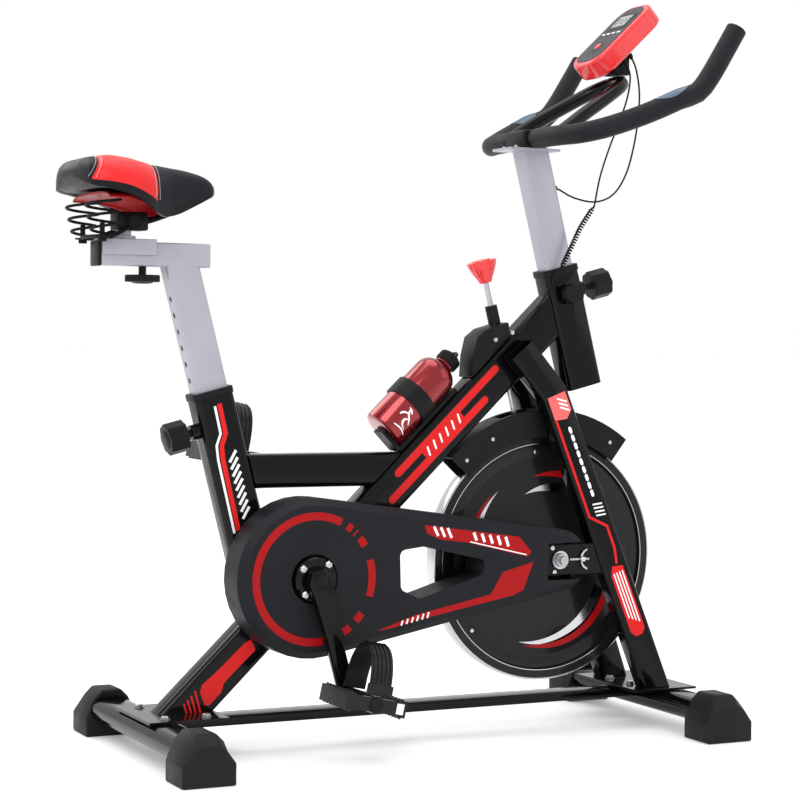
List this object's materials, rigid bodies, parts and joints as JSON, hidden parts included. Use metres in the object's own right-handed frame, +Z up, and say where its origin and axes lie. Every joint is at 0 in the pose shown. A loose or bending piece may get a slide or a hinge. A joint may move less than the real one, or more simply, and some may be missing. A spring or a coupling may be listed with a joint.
{
  "type": "indoor spin bike",
  "caption": "Indoor spin bike: black box-tube frame on wide feet, belt-driven disc flywheel, sliding saddle and handlebar posts, push brake, console and bottle.",
  "frame": {"origin": "on the floor, under the middle of the bike's bounding box", "axes": "+X the bike's front, +Y its left, +Z up; the drive is on the -Y side"},
  "size_m": [0.9994, 0.4824, 1.1279],
  "materials": {
    "black_paint": "gloss black powder coat",
    "grey_plastic": "matte dark grey",
    "black_plastic": "satin black",
    "rubber": "matte black",
    "steel": "bright",
    "cast_iron": "black lacquered disc with a polished rim band",
    "silver_paint": "satin silver",
    "vinyl": "red and charcoal vinyl",
    "red_plastic": "gloss red",
    "red_metal": "metallic red",
    "foam": "matte black foam",
    "felt": "felt"
  },
  "bodies": {
    "frame": {"main_tube": "black_paint", "seat_tube": "black_paint", "top_tube": "black_paint", "head_tube": "black_paint", "fork_leg_right": "black_paint", "fork_leg_left": "black_paint", "base_bar": "black_paint", "front_mount_plate": "black_paint", "rear_stabilizer": "black_paint", "front_stabilizer": "black_paint", "foot_cap_rear_right": "grey_plastic", "foot_cap_rear_left": "grey_plastic", "foot_cap_front_right": "grey_plastic", "foot_cap_front_left": "grey_plastic", "chain_cover_outer": "black_plastic", "chain_cover_inner": "black_plastic", "drive_belt": "rubber", "seat_tube_collar": "black_plastic", "head_tube_collar": "black_plastic", "brake_housing": "black_plastic", "wheel_guard": "black_plastic", "brake_sleeve": "black_plastic", "bottle_cage": "black_plastic", "sensor_lead_lower": "rubber", "flywheel_axle": "steel"},
    "flywheel": {"flywheel": "cast_iron", "flywheel_pulley": "cast_iron"},
    "crank": {"crank_spindle": "steel", "crank_pulley": "cast_iron", "crank_arm_right": "black_paint", "crank_arm_left": "black_paint"},
    "pedal_right": {"pedal_right": "black_plastic", "toe_strap_right": "rubber"},
    "pedal_left": {"pedal_left": "black_plastic", "toe_strap_left": "rubber"},
    "seat_post": {"seat_post": "silver_paint", "seat_rail_plug": "black_plastic"},
    "saddle": {"seat_carriage": "silver_paint", "saddle_clamp": "black_paint", "saddle_frame": "black_paint", "saddle_base": "red_plastic", "saddle": "vinyl"},
    "seat_rail_knob": {"seat_rail_knob": "black_plastic"},
    "seat_height_knob": {"seat_height_knob": "black_plastic"},
    "head_knob_front": {"head_knob_front": "black_plastic"},
    "head_knob_side": {"head_knob_side": "black_plastic"},
    "handlebar": {"handlebar_post": "silver_paint", "handlebar_clamp": "black_paint", "handlebar": "foam", "inner_loop": "black_paint", "console_bracket": "black_plastic", "console_shell": "red_plastic", "pulse_lead": "rubber", "sensor_lead": "rubber", "sensor_lead_coil": "rubber"},
    "console_button": {"console_button": "red_plastic"},
    "brake_rod": {"brake_rod": "steel"},
    "tension_knob": {"tension_knob": "red_plastic"},
    "brake_shoe": {"brake_shoe": "felt"},
    "water_bottle": {"water_bottle": "red_metal"}
  },
  "joints": [
    {"name": "flywheel_spin", "type": "hinge", "parent": "frame", "child": "flywheel", "pos_m": [0.26475, 0, 0.265], "axis": [0, 1, 0], "continuous": true},
    {"name": "crank_spin", "type": "hinge", "parent": "frame", "child": "crank", "pos_m": [-0.15325, 0, 0.254], "axis": [0, 1, 0], "continuous": true},
    {"name": "pedal_right_spin", "type": "hinge", "parent": "crank", "child": "pedal_right", "pos_m": [-0.11212, -0.1645, 0.08905], "axis": [0, 1, 0], "continuous": true},
    {"name": "pedal_left_spin", "type": "hinge", "parent": "crank", "child": "pedal_left", "pos_m": [-0.19438, 0.1645, 0.41895], "axis": [0, 1, 0], "continuous": true},
    {"name": "seat_post_slide", "type": "slide", "parent": "frame", "child": "seat_post", "axis": [-0.2504, 0, 0.9681], "range_m": [-0.1, 0.07]},
    {"name": "seat_carriage_slide", "type": "slide", "parent": "seat_post", "child": "saddle", "axis": [1, 0, 0], "range_m": [0, 0.075]},
    {"name": "rail_knob_turn", "type": "hinge", "parent": "seat_post", "child": "seat_rail_knob", "pos_m": [-0.38725, 0, 0.69], "axis": [0, 0, 1], "range_deg": [0, 360]},
    {"name": "seat_knob_turn", "type": "hinge", "parent": "frame", "child": "seat_height_knob", "pos_m": [-0.27239, 0, 0.472], "axis": [-0.9681, 0, -0.2504], "range_deg": [0, 360]},
    {"name": "head_knob_front_turn", "type": "hinge", "parent": "frame", "child": "head_knob_front", "pos_m": [0.29627, 0, 0.672], "axis": [0.9681, 0, 0.2504], "range_deg": [0, 360]},
    {"name": "head_knob_side_turn", "type": "hinge", "parent": "frame", "child": "head_knob_side", "pos_m": [0.29627, 0, 0.672], "axis": [0, -1, 0], "range_deg": [0, 360]},
    {"name": "handlebar_post_slide", "type": "slide", "parent": "frame", "child": "handlebar", "axis": [-0.2504, 0, 0.9681], "range_m": [-0.055, 0.05], "deforming": ["sensor_lead_coil"]},
    {"name": "console_button_press", "type": "slide", "parent": "handlebar", "child": "console_button", "axis": [0.6884, 0, -0.7254], "range_m": [0, 0.0015], "stiffness_N_per_m": 400, "springref_m": -0.0005},
    {"name": "brake_press", "type": "slide", "parent": "frame", "child": "brake_rod", "axis": [0.2504, 0, -0.9681], "range_m": [0, 0.004], "stiffness_N_per_m": 2500, "springref_m": -0.003},
    {"name": "tension_turn", "type": "hinge", "parent": "brake_rod", "child": "tension_knob", "pos_m": [0.16465, 0, 0.687], "axis": [-0.2504, 0, 0.9681], "range_deg": [0, 720]},
    {"name": "pad_feed", "type": "slide", "parent": "brake_rod", "child": "brake_shoe", "axis": [0.2504, 0, -0.9681], "range_m": [0, 0.0026]},
    {"name": "bottle_lift", "type": "slide", "parent": "frame", "child": "water_bottle", "axis": [0.7206, 0, 0.6934], "range_m": [0, 0.018]}
  ],
  "couplings": [
    {"joint": "crank_spin", "follows": "flywheel_spin", "ratio": 0.3},
    {"joint": "pad_feed", "follows": "tension_turn", "m_per_rad": 0.00019894}
  ]
}
